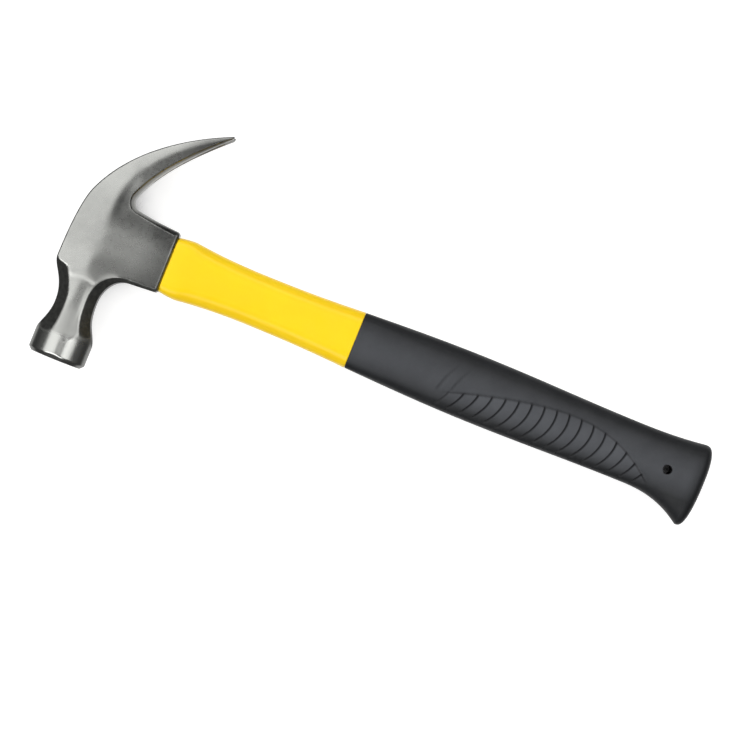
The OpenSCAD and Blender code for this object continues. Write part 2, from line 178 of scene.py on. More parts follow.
def ring_solid(rings, closed_rows=False):
    """Points and outward faces of a closed solid through rings; open row ends get a fan to their middle."""
    rings = np.asarray(rings)
    rows, around = rings.shape[:2]
    points = rings.reshape(-1, 3)
    faces = rows_to_faces(rows, around, closed_rows).tolist()
    if not closed_rows:
        points = np.concatenate([points, [rings[0].mean(0), rings[-1].mean(0)]])
        first, last = rows * around, rows * around + 1
        for j in range(around):
            k = (j + 1) % around
            faces += [[first, k, j], [last, (rows - 1) * around + j, (rows - 1) * around + k]]
    if inside_out(points, faces):
        faces = [face[::-1] for face in faces]
    return points, faces


# Shader groups: effects that several finishes share

def put(tree, kind, inputs=None, **settings):
    """Adds a node. inputs: socket name or number to a value or to another node's output."""
    node = tree.nodes.new(kind)
    for name, value in settings.items():
        setattr(node, name, value)
    for key, value in (inputs or {}).items():
        if isinstance(value, bpy.types.NodeSocket):
            tree.links.new(value, node.inputs[key])
        else:
            node.inputs[key].default_value = value
    return node


def new_group(name, kind, inputs, outputs):
    """A node group with named sockets. inputs: name, socket type, default."""
    group = bpy.data.node_groups.new(name, kind)
    for label, socket, default in inputs:
        made = group.interface.new_socket(label, in_out="INPUT", socket_type=socket)
        if default is not None:
            made.default_value = default
    for label, socket in outputs:
        group.interface.new_socket(label, in_out="OUTPUT", socket_type=socket)
    return group, put(group, "NodeGroupInput"), put(group, "NodeGroupOutput")


def math_node(tree, operation, a, b=0.0, clamp=False):
    return put(tree, "ShaderNodeMath", {0: a, 1: b}, operation=operation, use_clamp=clamp).outputs[0]


def spread(tree, value, low, high, to_low=0.0, to_high=1.0):
    """A value between low and high, spread smoothly to another range."""
    return put(tree, "ShaderNodeMapRange", {0: value, 1: low, 2: high, 3: to_low, 4: to_high},
               interpolation_type="SMOOTHSTEP").outputs[0]


def attribute(tree, name):
    return put(tree, "ShaderNodeAttribute", attribute_name=name).outputs["Fac"]


def noise(tree, scale, detail, roughness=0.5, stretch=None):
    """Noise that stays in place on a piece."""
    place = put(tree, "ShaderNodeTexCoord").outputs["Object"]
    if stretch is not None:
        place = put(tree, "ShaderNodeVectorMath", {0: place, 1: stretch}, operation="MULTIPLY").outputs[0]
    return put(tree, "ShaderNodeTexNoise", {
        "Vector": place, "Scale": scale, "Detail": detail, "Roughness": roughness}).outputs["Fac"]


def fine_grain_group():
    """Fine surface texture, as a height that a bump node reads."""
    group, given, result = new_group(
        "fine_grain", "ShaderNodeTree",
        [("Grains per metre", "NodeSocketFloat", 1500.0), ("Stretch", "NodeSocketVector", (1, 1, 1))],
        [("Height", "NodeSocketFloat")])
    height = noise(group, given.outputs["Grains per metre"], 3.0, 0.6, given.outputs["Stretch"])
    group.links.new(height, result.inputs["Height"])
    return group


def mottle_group():
    """Soft patches, for uneven polish, handling and colour."""
    group, given, result = new_group(
        "mottle", "ShaderNodeTree",
        [("Patches per metre", "NodeSocketFloat", 90.0), ("Low", "NodeSocketFloat", 0.0),
         ("High", "NodeSocketFloat", 1.0)],
        [("Value", "NodeSocketFloat")])
    patches = noise(group, given.outputs["Patches per metre"], 5.0, 0.62)
    value = spread(group, patches, 0.32, 0.68, given.outputs["Low"], given.outputs["High"])
    group.links.new(value, result.inputs["Value"])
    return group


def edge_wear_group():
    """Mask of rubbed outward edges, broken up by patches."""
    group, given, result = new_group(
        "edge_wear", "ShaderNodeTree",
        [("Amount", "NodeSocketFloat", 0.5), ("Patches per metre", "NodeSocketFloat", 400.0)],
        [("Mask", "NodeSocketFloat")])
    patches = spread(group, noise(group, given.outputs["Patches per metre"], 4.0), 0.3, 0.7, 0.35, 1.0)
    worn = math_node(group, "MULTIPLY", attribute(group, "rim"), patches)
    mask = math_node(group, "MULTIPLY", worn, given.outputs["Amount"], clamp=True)
    group.links.new(mask, result.inputs["Mask"])
    return group


FINE_GRAIN = fine_grain_group()
MOTTLE = mottle_group()
EDGE_WEAR = edge_wear_group()


def fine_grain(tree, grains, stretch=(1, 1, 1)):
    return put(tree, "ShaderNodeGroup", {"Grains per metre": grains, "Stretch": stretch},
               node_tree=FINE_GRAIN).outputs["Height"]


def mottle(tree, patches, low=0.0, high=1.0):
    return put(tree, "ShaderNodeGroup", {"Patches per metre": patches, "Low": low, "High": high},
               node_tree=MOTTLE).outputs["Value"]


def edge_wear(tree, amount, patches):
    return put(tree, "ShaderNodeGroup", {"Amount": amount, "Patches per metre": patches},
               node_tree=EDGE_WEAR).outputs["Mask"]


# Materials

def shader_input(shader, label):
    return shader.inputs[label.replace("_", " ").title().replace("Ior", "IOR")]


def new_finish(name, **constant):
    """A material with its Principled shader; constant values go straight onto the shader."""
    finish = bpy.data.materials.new(name)
    finish.use_nodes = True
    tree = finish.node_tree
    shader = tree.nodes["Principled BSDF"]
    for label, value in constant.items():
        shader_input(shader, label).default_value = value
    return finish, tree, shader


def wire(tree, shader, **sources):
    """Links other nodes' outputs to a shader's inputs."""
    for label, source in sources.items():
        tree.links.new(source, shader_input(shader, label))


def mix_colour(tree, share, first, second):
    node = put(tree, "ShaderNodeMix", {0: share}, data_type="RGBA")
    for number, value in ((6, first), (7, second)):
        if isinstance(value, bpy.types.NodeSocket):
            tree.links.new(value, node.inputs[number])
        else:
            node.inputs[number].default_value = (*value, 1.0)
    return node.outputs[2]


def mix_value(tree, share, first, second):
    return put(tree, "ShaderNodeMix", {0: share, 2: first, 3: second}, data_type="FLOAT").outputs[0]


def bump(tree, height, strength, depth_mm):
    return put(tree, "ShaderNodeBump", {
        "Height": height, "Strength": strength, "Distance": depth_mm / 1000}).outputs["Normal"]


def forged_steel():
    """Uneven polished steel: dark where forged, bright where turned, lightened by painted highlights and
    darkened by painted shade, matt where ground, rubbed edges.
    """
    finish, tree, shader = new_finish("forged_steel")
    turned, forged = attribute(tree, "turned"), attribute(tree, "forged")
    patches = mottle(tree, 160.0)
    polish = mix_colour(tree, patches, (0.39, 0.394, 0.378), (0.42, 0.424, 0.405))
    # Painted shade darkens the polish at the claws' root, towards the mouth and along the sides
    painted_shade = math_node(tree, "MULTIPLY", attribute(tree, "painted_shade"), spread(tree, patches, 0.0, 1.0, 0.85, 1.0))
    polish = mix_colour(tree, painted_shade, polish, (0.09, 0.091, 0.088))
    # Painted highlight: the turned poll's bright colour also lightens the arch, the strip beside the bevel,
    # the crook and the crown's ends
    polish = mix_colour(tree, turned, polish, (0.58, 0.585, 0.56))
    scale = mix_colour(tree, mottle(tree, 420.0), (0.048, 0.049, 0.046), (0.082, 0.084, 0.079))
    wear = edge_wear(tree, 0.15, 500.0)
    colour = mix_colour(tree, wear, mix_colour(tree, forged, polish, scale), (0.56, 0.56, 0.55))
    rough = mix_value(tree, turned, mottle(tree, 300.0, 0.26, 0.3), 0.25)
    rough = mix_value(tree, attribute(tree, "ground"), rough, 0.45)
    rough = mix_value(tree, wear, mix_value(tree, forged, rough, 0.42), 0.24)
    brushed = fine_grain(tree, 1600.0, (1.0, 0.1, 1.0))
    height = mix_value(tree, forged, brushed, fine_grain(tree, 1100.0))
    wire(tree, shader, base_color=colour, roughness=rough, metallic=mix_value(tree, forged, 1.0, 0.7),
         normal=bump(tree, height, 0.1, 0.04))
    return finish


def yellow_jacket():
    """Half-gloss moulded plastic, slightly deeper in patches and paler along rubbed edges."""
    finish, tree, shader = new_finish("yellow_jacket", ior=1.4)
    colour = mix_colour(tree, mottle(tree, 45.0), (0.99, 0.645, 0.001), (1.0, 0.675, 0.002))
    colour = mix_colour(tree, edge_wear(tree, 0.3, 300.0), colour, (1.0, 0.68, 0.05))
    wire(tree, shader, base_color=colour, roughness=mottle(tree, 120.0, 0.3, 0.42),
         normal=bump(tree, fine_grain(tree, 1300.0), 0.12, 0.05))
    return finish


def black_rubber():
    """Matt rubber with a fine moulded grain, lightened along its flats and scale faces as a painted sheen,
    darkened in its grooves and hole as painted shade, paler on rubbed edges.
    """
    finish, tree, shader = new_finish("black_rubber", ior=1.48, specular_ior_level=0.3)
    patches = mottle(tree, 70.0)
    colour = mix_colour(tree, patches, (0.012, 0.013, 0.0145), (0.016, 0.0172, 0.019))
    sheen_colour = mix_colour(tree, patches, (0.092, 0.097, 0.108), (0.106, 0.111, 0.123))
    # Painted sheen: the rubber is lightened where its flats face up
    painted_sheen = math_node(tree, "MULTIPLY", attribute(tree, "painted_sheen"), 0.5)
    colour = mix_colour(tree, painted_sheen, colour, sheen_colour)
    # Painted shade: darker behind the scale lines, along the leaf's edge, in the sweeps and in the hole
    colour = mix_colour(tree, attribute(tree, "sunk"), colour, (0.007, 0.0074, 0.008))
    colour = mix_colour(tree, edge_wear(tree, 0.3, 350.0), colour, (0.05, 0.052, 0.058))
    wire(tree, shader, base_color=colour, roughness=mottle(tree, 150.0, 0.52, 0.62),
         normal=bump(tree, fine_grain(tree, 1700.0), 0.35, 0.08))
    return finish


def cut_fibreglass():
    """Pale rod of glass fibres along the handle: streaked along its length, dotted on its cut ends."""
    finish, tree, shader = new_finish("cut_fibreglass", ior=1.52)
    strands = fine_grain(tree, 2600.0, (0.03, 1.0, 1.0))
    colour = mix_colour(tree, spread(tree, strands, 0.38, 0.62), (0.42, 0.33, 0.17), (0.74, 0.66, 0.44))
    browned = math_node(tree, "MULTIPLY", mottle(tree, 260.0), 0.35)
    colour = mix_colour(tree, browned, colour, (0.5, 0.4, 0.2))
    wire(tree, shader, base_color=colour, roughness=mottle(tree, 500.0, 0.55, 0.75),
         normal=bump(tree, strands, 0.4, 0.12))
    return finish


def poured_epoxy():
    """Amber resin, glossy, clouded by small bubbles."""
    finish, tree, shader = new_finish("poured_epoxy", ior=1.55)
    place = put(tree, "ShaderNodeTexCoord").outputs["Object"]
    cells = put(tree, "ShaderNodeTexVoronoi", {"Vector": place, "Scale": 700.0}).outputs["Distance"]
    bubbles = spread(tree, cells, 0.16, 0.3, 1.0, 0.0)
    colour = mix_colour(tree, mottle(tree, 330.0), (0.30, 0.19, 0.05), (0.46, 0.32, 0.10))
    colour = mix_colour(tree, math_node(tree, "MULTIPLY", bubbles, 0.5), colour, (0.62, 0.5, 0.26))
    wire(tree, shader, base_color=colour, roughness=mottle(tree, 200.0, 0.16, 0.3),
         normal=bump(tree, bubbles, 0.3, 0.1))
    return finish


# Head: outline seen from the side, with the width of the bevel inside it

POLL_RADIUS, FACE_REACH, FACE_BEVEL = 14.35, 63.3, 1.8
FLARE_OUT, FLARE_Y = 16.0, -55.0
WAIST_REACH, WAIST_HALF, FLARE_HALF = 33.75, 12.3, 14.9
WAIST_CROWN, WAIST_HANDLE = (-10.4, -37.0), (8.5, -30.5)
CROWN_CORNER, KNEE = (-17.5, -15.5), (-13.55, 20.7)
TIP_OUT = np.array([41.0, 69.0])
TIP_IN = TIP_OUT + 2.0 * heading(-110)
CROTCH, CROTCH_RADIUS, CROTCH_FROM, CROTCH_TO = np.array([11.7, 22.9]), 4.4, 261, 160
FILLET_FOOT = (20.5, -15.85)
MOUTH, SOCKET_CLAW, SOCKET_POLL = 33.7, 16.2, 15.0
RIDGE_X, RIDGE_SOFT, CHEEK_HALF, CROWN_SLOPE, CLAW_SLOPE = -0.5, 4.0, 12.5, 0.13, 0.2
MOUTH_FALL, MOUTH_SPAN, TIP_HALF = 1.1, 41.0, 15.75
SLOT_FROM, SLOT_ROOT_HALF, SLOT_TIP_HALF, SLOT_BEVEL = 0.24, 1.3, 7.0, 1.5
NECK_MIDDLE, NECK_CROWN = -1.7, 62.0
ARCH_Y, ARCH_BOW, ARCH_RUN, ARCH_STEP = -21.0, 28.0, 3.6, 0.5
STEEP_BEVEL = 3.0
CHEEK_CROWN = 0.45
POLISH_WAVE = 0.007

claw_back = bow(KNEE, TIP_OUT, (67.3, 0.355, 23.1, 0.305), 90)
claw_inner = bow(CROTCH + CROTCH_RADIUS * heading(CROTCH_TO), TIP_IN,
                 (CROTCH_TO - 90, 0.315, 43.3, 0.32), 90)
claw_middle = (claw_back + claw_inner) / 2
ridge = bow((RIDGE_X, 0), (TIP_OUT + TIP_IN) / 2, (90, 0.4, 32, 0.55), 90)


def head_outline():
    """Closed outline with a bevel width at each point, up the crown side and down the handle side."""
    t = np.linspace(0, 1, 60)
    claw_t = np.linspace(0, 1, 90)
    arc = np.array([CROTCH + CROTCH_RADIUS * heading(a) for a in np.linspace(CROTCH_FROM, CROTCH_TO, 40)])
    out, foot = FLARE_OUT, -FACE_REACH - 4
    up = [
        ([(-out, foot)], [8.0]),
        (bow((-out, FLARE_Y), WAIST_CROWN, (69, 0.35, 90, 0.34), 60), blend(8.0, 5.2, ease(t))),
        (bow(WAIST_CROWN, CROWN_CORNER, (90, 0.534, 90, 0.28), 60), blend(5.2, 0.4, ease((t - 0.6) / 0.4))),
        (bow(CROWN_CORNER, KNEE, (90, 0.38, 67.3, 0.213), 60), 0.4 + 0 * t),
        (claw_back, np.full(90, 0.4))]
    down = [
        ([(out, foot)], [6.0]),
        (bow((out, FLARE_Y), WAIST_HANDLE, (108.6, 0.49, 90, 0.51), 60), blend(6.0, 4.8, ease(t))),
        (bow(WAIST_HANDLE, FILLET_FOOT, (90, 0.325, 0, 0.46), 60), blend(4.8, 1.7, ease(t) ** 1.8)),
        ([(MOUTH - 1, -SOCKET_POLL), (MOUTH, 1 - SOCKET_POLL), (MOUTH, SOCKET_CLAW - 1)], [1.4, 1.0, 1.0]),
        (bow((MOUTH - 1, SOCKET_CLAW), arc[0], (176, 0.44, 171, 0.5), 60), blend(2.4, 1.7, t)),
        (arc, np.full(40, 1.7)),
        (claw_inner, blend(1.7, 0.7, claw_t))]

    def joined(k):
        sides = [np.concatenate([np.asarray(run[k], float) for run in side]) for side in (up, down)]
        return np.concatenate([sides[0], sides[1][::-1]])

    points, widths = joined(0), joined(1)
    keep = np.linalg.norm(points - np.roll(points, 1, axis=0), axis=1) > 1e-6
    return points[keep], widths[keep]


def distance_inside(x, y, points, widths):
    """Distance inside a closed outline, negative outside, and the bevel width at its nearest place."""
    nearest = np.full(x.shape, 1e9)
    bevel = np.zeros(x.shape)
    inside = np.zeros(x.shape, bool)
    for p, q, wp, wq in zip(points, np.roll(points, -1, axis=0), widths, np.roll(widths, -1)):
        d = q - p
        t = np.clip(((x - p[0]) * d[0] + (y - p[1]) * d[1]) / (d @ d), 0, 1)
        away = (x - p[0] - t * d[0]) ** 2 + (y - p[1] - t * d[1]) ** 2
        closer = away < nearest
        nearest = np.where(closer, away, nearest)
        bevel = np.where(closer, wp + t * (wq - wp), bevel)
        if p[1] != q[1]:
            inside ^= ((p[1] > y) != (q[1] > y)) & (x < d[0] * (y - p[1]) / d[1] + p[0])
    return np.where(inside, 1, -1) * np.sqrt(nearest), bevel


def along_claws(x, y):
    """Share of the way from the claws' root to their tips, and from their back to their inner side."""
    along = np.zeros(x.shape)
    across = np.zeros(x.shape)
    count = len(claw_back)
    before = None
    for k in range(count):
        b, d = claw_back[k], claw_inner[k] - claw_back[k]
        past = (y - b[1]) * d[0] - (x - b[0]) * d[1]
        share = ((x - b[0]) * d[0] + (y - b[1]) * d[1]) / (d @ d)
        if before is None:
            across = share
        else:
            hit = past < 0
            part = np.clip(before / np.maximum(before - past, 1e-9), 0, 1)
            reached = (k - 1 + np.where(hit, part, 1.0)) / (count - 1)
            live = before >= 0
            along = np.where(live, reached, along)
            across = np.where(live, share, across)
        before = past if before is None else np.where(before >= 0, past, before)
    return along, np.clip(across, 0, 1)


def beside_ridge(x, y):
    """Distance from the soft ridge, positive on the handle's side, and the share of the way up it."""
    nearest = np.full(x.shape, 1e9)
    off = np.zeros(x.shape)
    share = np.zeros(x.shape)
    points = np.concatenate([[(RIDGE_X, -80.0)], ridge])
    for k, (p, q) in enumerate(zip(points[:-1], points[1:])):
        d = q - p
        t = np.clip(((x - p[0]) * d[0] + (y - p[1]) * d[1]) / (d @ d), 0, 1)
        away = np.hypot(x - p[0] - t * d[0], y - p[1] - t * d[1])
        closer = away < nearest
        nearest = np.where(closer, away, nearest)
        off = np.where(closer, np.where((x - p[0]) * d[1] > (y - p[1]) * d[0], away, -away), off)
        share = np.where(closer, np.maximum(k - 1 + t, 0) / (len(points) - 2), share)
    return off, share


def claw_middle_x(y):
    """Place along the handle of the claws' middle line at each height."""
    return np.interp(y, claw_middle[:, 1], claw_middle[:, 0])


class HeadSheet:
    """What the head's surface needs to know at each place seen from the side, kept on a fine grid."""
    STEP = 0.25
    LOW = np.array([-19.0, -66.0])
    HIGH = np.array([43.0, 71.0])

    def __init__(self):
        size = ((self.HIGH - self.LOW) / self.STEP).astype(int) + 1
        x, y = np.meshgrid(self.LOW[0] + self.STEP * np.arange(size[0]),
                           self.LOW[1] + self.STEP * np.arange(size[1]), indexing="ij")
        edge, bevel = distance_inside(x, y, *head_outline())
        along, across = along_claws(x, y)
        roof = self.roof(x, y, along)
        across_neck = np.minimum((x - NECK_MIDDLE) ** 2, 20.0)
        on_neck = window(y, -53.5, -17.5, 3, 8)
        under_arch = ease((ARCH_Y + 1.5 - across_neck / ARCH_BOW - y) / ARCH_RUN) * ease((y + 50) / 22)
        wave = np.sin(0.62 * x + 0.35 * y + 1.0) + np.sin(0.27 * x - 0.58 * y + 2.2)
        wave = wave + np.sin(0.8 * x - 0.22 * y + 0.4) * np.sin(0.41 * y + 0.9)
        roof = roof + POLISH_WAVE * wave
        roof = roof - on_neck * across_neck / NECK_CROWN - ARCH_STEP * under_arch
        on_claws = ease((y - 15.0) / 4) * ease((x - claw_middle_x(y)) / 2)
        soft = blend(0.3, 0.9, window(y, -56, -14, 3, 6))
        top = roof - blend(1.0, STEEP_BEVEL, on_claws) * soft_positive(bevel - edge, soft)
        slope_x, slope_y = np.gradient(top, self.STEP)
        steep = 1 / np.sqrt(1 + slope_x ** 2 + slope_y ** 2)
        claw_length = np.linalg.norm(np.diff(claw_middle, axis=0), axis=1).sum()
        share = (along - SLOT_FROM) / (1 - SLOT_FROM)
        gap = blend(SLOT_ROOT_HALF, SLOT_TIP_HALF, np.maximum(share, 0))
        gap = gap + SLOT_BEVEL * np.maximum(2 * across - 1, 0)
        from_root = (along - SLOT_FROM) * claw_length
        self.fields = np.stack([edge, top, steep, gap, from_root, bevel - edge], -1)

    @staticmethod
    def roof(x, y, along):
        """Half thickness of the head before its bevels."""
        waist_y = -WAIST_REACH + (x + 0.95) * 6.5 / 18.9
        flare = progress(y, FLARE_Y, waist_y)
        neck = blend(WAIST_HALF, FLARE_HALF, (1 - flare) ** 2)
        off_ridge, past_root = beside_ridge(x, y)
        on_claws = ease(past_root / 0.4)
        soft = blend(RIDGE_SOFT, RIDGE_SOFT / 2.5, on_claws)
        to_crown = CROWN_SLOPE * (1 + 0.45 * on_claws) * soft_positive(-off_ridge, soft)
        to_mouth = MOUTH_FALL * (1 - np.cos(math.pi * progress(off_ridge, 0, MOUTH_SPAN))) / 2
        to_inside = CLAW_SLOPE * on_claws * soft_positive(8 * np.tanh(off_ridge / 8), soft)
        rounded = CHEEK_CROWN * ease((x + 2) / 10) * (ease((y - 3) / 16) + 0.7 * ease((-3 - y) / 14))
        cheek = blend(CHEEK_HALF, TIP_HALF, along ** 1.6) - to_crown - to_mouth - to_inside - rounded
        rise = ease((y - waist_y) / (-15.6 - waist_y))
        return np.where(y < waist_y, neck, blend(WAIST_HALF, cheek, rise))

    def at(self, x, y):
        """Fields at places between the grid's points."""
        u = np.clip((x - self.LOW[0]) / self.STEP, 0, self.fields.shape[0] - 1.001)
        v = np.clip((y - self.LOW[1]) / self.STEP, 0, self.fields.shape[1] - 1.001)
        i, j = u.astype(int), v.astype(int)
        a, b = (u - i)[..., None], (v - j)[..., None]
        f = self.fields
        return np.moveaxis(blend(blend(f[i, j], f[i + 1, j], a), blend(f[i, j + 1], f[i + 1, j + 1], a), b),
                           -1, 0)


EYE_HALF_W, EYE_HALF_T, EYE_POWER = 11.5, 7.7, 3.2


def eye_half(x):
    """Half width and half thickness of the eye along the handle, narrowest inside the head."""
    less = np.interp(x, [-21.5, MOUTH / 3, MOUTH + 4], [0.3, 0.9, 0.0])
    return EYE_HALF_W - less, EYE_HALF_T - less


def head_field(x, y, z, sheet_values):
    """Depth under the head's surface, positive inside."""
    edge, top, steep, gap, from_root, _ = sheet_values
    up = np.abs(z)
    depth = soft_min(edge, (top - up) * steep, 0.35)
    out = np.hypot(x, z)
    face = y + FACE_REACH - 0.25 * (out / POLL_RADIUS) ** 2
    wall = POLL_RADIUS + 2 * np.maximum(y + 38, 0) - out
    depth = soft_min(depth, wall, 0.45)
    depth = soft_min(depth, face, 0.3)
    depth = soft_min(depth, (POLL_RADIUS - out + face - FACE_BEVEL) / math.sqrt(2), 0.25)
    beside_slot = np.where(from_root > 0, up - gap, np.hypot(np.minimum(from_root, 0), z) - gap)
    depth = soft_min(depth, beside_slot, 0.4)
    wide, thick = eye_half(x)
    out_of_eye = ((np.abs(y) / wide) ** EYE_POWER + (up / thick) ** EYE_POWER) ** (1 / EYE_POWER)
    return soft_min(depth, (out_of_eye - 1) * thick, 0.35)


def net_surface(low, cell, values):
    """Points and faces of a smooth net over the zero level of values on a regular grid."""
    inside = values > 0
    total = np.zeros(np.array(values.shape) - 1)
    place = np.zeros(total.shape + (3,))
    size = np.array(values.shape)
    for axis in range(3):
        for da in (0, 1):
            for db in (0, 1):
                other = [a for a in range(3) if a != axis]
                first = [slice(None)] * 3
                first[axis] = slice(0, size[axis] - 1)
                for a, d in zip(other, (da, db)):
                    first[a] = slice(d, size[a] - 1 + d)
                second = list(first)
                second[axis] = slice(1, size[axis])
                v0, v1 = values[tuple(first)], values[tuple(second)]
                cross = (v0 > 0) != (v1 > 0)
                share = np.where(cross, v0 / np.where(cross, v0 - v1, 1), 0)
                total += cross
                place[..., axis] += share
                place[..., other[0]] += da * cross
                place[..., other[1]] += db * cross
    active = total > 0
    number = np.full(total.shape, -1)
    number[active] = np.arange(active.sum())
    corner = np.argwhere(active)
    points = low + cell * (corner + place[active] / total[active][:, None])
    faces = []
    for axis in range(3):
        other = [(axis + 1) % 3, (axis + 2) % 3]
        here = [slice(1, n - 1) for n in size]
        here[axis] = slice(0, size[axis] - 1)
        there = list(here)
        there[axis] = slice(1, size[axis])
        a, b = inside[tuple(here)], inside[tuple(there)]
        for leaving in (True, False):
            found = np.argwhere((a & ~b) if leaving else (~a & b))
            found += np.array([0 if k == axis else 1 for k in range(3)])
            around = []
            for da, db in ((1, 1), (0, 1), (0, 0), (1, 0)):
                cell_at = found.copy()
                cell_at[:, other[0]] -= da
                cell_at[:, other[1]] -= db
                around.append(number[tuple(cell_at.T)])
            quads = np.stack(around, 1)
            faces.append(quads if leaving else quads[:, ::-1])
    return points, np.concatenate(faces)


def head_mesh(cell=0.5):
    """The head's surface: a net over the field, settled onto it and evened out along it."""
    sheet = HeadSheet()
    low = np.array([-18.25, -64.0, -15.75])
    high = np.array([42.0, 70.0, 15.75])
    counts = np.round((high - low) / cell).astype(int) + 1
    axes = [low[k] + cell * np.arange(counts[k]) for k in range(3)]
    x, y = np.meshgrid(axes[0], axes[1], indexing="ij")
    flat = sheet.at(x, y)
    values = np.stack([head_field(x, y, z, flat) for z in axes[2]], -1)
    points, faces = net_surface(low, cell, values)

    def depth(p):
        return head_field(p[:, 0], p[:, 1], p[:, 2], sheet.at(p[:, 0], p[:, 1]))

    def slope(p, step=0.06):
        return np.stack([depth(p + step * e) - depth(p - step * e) for e in np.eye(3)], 1) / (2 * step)

    def settle(p):
        for _ in range(3):
            g = slope(p)
            move = depth(p) / np.maximum((g * g).sum(1), 0.05)
            p = p - np.clip(move, -0.3, 0.3)[:, None] * g
        return p

    a, b = np.concatenate([faces[:, [k, (k + 1) % 4]] for k in range(4)]).T
    points = settle(points)
    for _ in range(4):
        sums = np.stack([np.bincount(a, points[b, k], len(points)) for k in range(3)], 1)
        middle = sums / np.maximum(np.bincount(a, minlength=len(points)), 1)[:, None]
        g = slope(points)
        g /= np.maximum(np.linalg.norm(g, axis=1), 1e-6)[:, None]
        move = middle - points
        points = settle(points + 0.5 * (move - (move * g).sum(1)[:, None] * g))
    g = slope(points)
    normals = -g / np.maximum(np.linalg.norm(g, axis=1), 1e-6)[:, None]
    return points, faces, normals, sheet


def head_finish(points, sheet):
    """How far each point of the head is dark from forging, turned bright, lightened as a painted highlight,
    ground matt and darkened as painted shade.
    """
    x, y, z = points.T
    edge, top, steep, _, _, in_bevel = sheet.at(x, y)
    off_ridge, _ = beside_ridge(x, y)

    # Forging scale stays on the neck's bevels and walls; near the mouth it reaches a little onto the flat
    dark_reach = 0.05 + 0.4 * ease((x - 13) / 3)
    on_bevel = np.exp(-((top - np.abs(z)) * steep / 0.3) ** 2) * ease((in_bevel + dark_reach) / 0.35)
    on_wall = np.exp(-(edge / 0.3) ** 2)
    forged = np.maximum(on_bevel, on_wall) * window(y, -58, -12.6, 2, 1.2)

    # The poll is turned bright. The arch over the neck's flat, the strip beside the bevel, the flat's foot,
    # the crook and the crown's ends are lightened as a painted highlight; the arch, the flat's foot and some
    # edges are ground matt
    poll = ease((-49 - y) / 3)
    arch = np.exp(-((y - ARCH_Y + (x - NECK_MIDDLE) ** 2 / ARCH_BOW) / 2.2) ** 2)
    beside_bevel = np.exp(-((in_bevel + 0.4) / 1.7) ** 2)
    beside_bevel = beside_bevel * window(x, -1, 17, 1.5, 5) * window(y, -44, -12.5, 6, 3)
    neck_foot = window(y, -51, -32, 2, 8)
    crook = ease((in_bevel + 0.3) / 0.5) * window(x, 1, 12, 3, 3) * window(y, 13.5, 34, 3, 8)
    crown_ends = ease(-off_ridge / 4) * (ease((-3 - y) / 9) + ease((y - 18) / 10))
    inner_strip = ease((in_bevel + 0.1) / 0.3) * ease((y - 24) / 4) * ease((x - claw_middle_x(y)) / 2)
    turned = np.maximum.reduce([poll, 0.9 * arch, beside_bevel, 0.3 * neck_foot, 0.45 * crook,
                                0.3 * crown_ends])
    ground = np.maximum.reduce([arch, 0.8 * beside_bevel, 0.7 * neck_foot, 0.6 * crook,
                                0.4 * inner_strip])

    # Painted shade: the polish is darkened at the claws' root, towards the mouth and along the cheek's sides
    at_root = np.exp(-((x - 4 - 0.45 * (y - 22)) / 5) ** 2 - ((y - 21) / 9) ** 2)
    at_root = at_root * ease((off_ridge + 4) / 5.5)
    at_mouth = 0.65 * ease((x - 16) / 16)
    claw_side = (0.65 + 0.35 * ease((x - 17) / 10)) * window(y, 4, 32, 9, 12)
    on_sides = ease((x + 3) / 5) * (claw_side + 0.3 * ease((-4 - y) / 9))
    painted_shade = (1 - (1 - at_root) * (1 - at_mouth) * (1 - on_sides)) * ease((y + 22) / 8)
    return {"forged": forged, "turned": turned * (1 - forged), "ground": ground * (1 - forged), "painted_shade": painted_shade}


def build_head(material):
    points, faces, normals, sheet = head_mesh()
    piece = make_piece("head_forging", points, faces.tolist(), material, "head", "steel", normals)
    for label, values in head_finish(points, sheet).items():
        write_layer(piece.data, label, values)
    return piece


# Handle pieces

CORE_HALF_W, CORE_HALF_T, CORE_FROM, CORE_TO = 8.6, 5.6, -15.0, 284.3
BOND_LINE = 0.05
JACKET_FROM, SHOULDER_X, WAIST_X, GRIP_AT = 33.75, 42.7, 79.7, 131.0
SLEEVE_HALF_W, SLEEVE_HALF_T, SLEEVE_POWER = 11.2, 8.2, 3
# Half width and half thickness where the grip begins
JOINT_HALF_W, JOINT_HALF_T = 14.3, 10.9
# Half sizes of the jacket at its mouth, shoulder, waist and rear
JACKET_HALF_W, JACKET_HALF_T = (13.85, 14.85, 12.7, JOINT_HALF_W), (10.0, 10.5, 9.4, JOINT_HALF_T)
SEAM_HEIGHT, SEAM_HALF = 0.1, 0.28
# Half sizes of the grip at its front, belly and wrist
GRIP_HALF_W, GRIP_HALF_T = (JOINT_HALF_W, 16.25, 15.0), (JOINT_HALF_T, 12.6, 11.7)
# How far the butt flares up, down and to each side, and the power of each curve
BUTT_UP, BUTT_DOWN, BUTT_SIDE = (2.0, 2.2), (9.3, 2.5), (2.9, 2.4)
BELLY_X, WRIST_X, ROUND_X, BUTT_END = 195.0, 275.3, 307.5, 313.2
SCALE_FROM, SCALE_PITCH, SCALE_COUNT = 176.9, 6.36, 18
SCALE_TO = SCALE_FROM + SCALE_PITCH * SCALE_COUNT
BEND, BEND_FROM = 0.026, 1.2
GRIP_ROUND, REAR_CHAMFER = 2.4, 4.3
HOLE_X, HOLE_Y, HOLE_RADIUS = 293.9, -1.2, 2.05


def even_angles(section, count, extra=()):
    """Directions around a section that lie at even distances along it."""
    dense = np.linspace(0, 2 * math.pi, 4001)
    y, z = section(dense)
    length = np.concatenate([[0], np.cumsum(np.hypot(np.diff(y), np.diff(z)))])
    angles = np.interp(np.linspace(0, length[-1], count + 1)[:-1], length, dense)
    return np.unique(np.round(np.concatenate([angles, np.asarray(extra, float)]), 6))


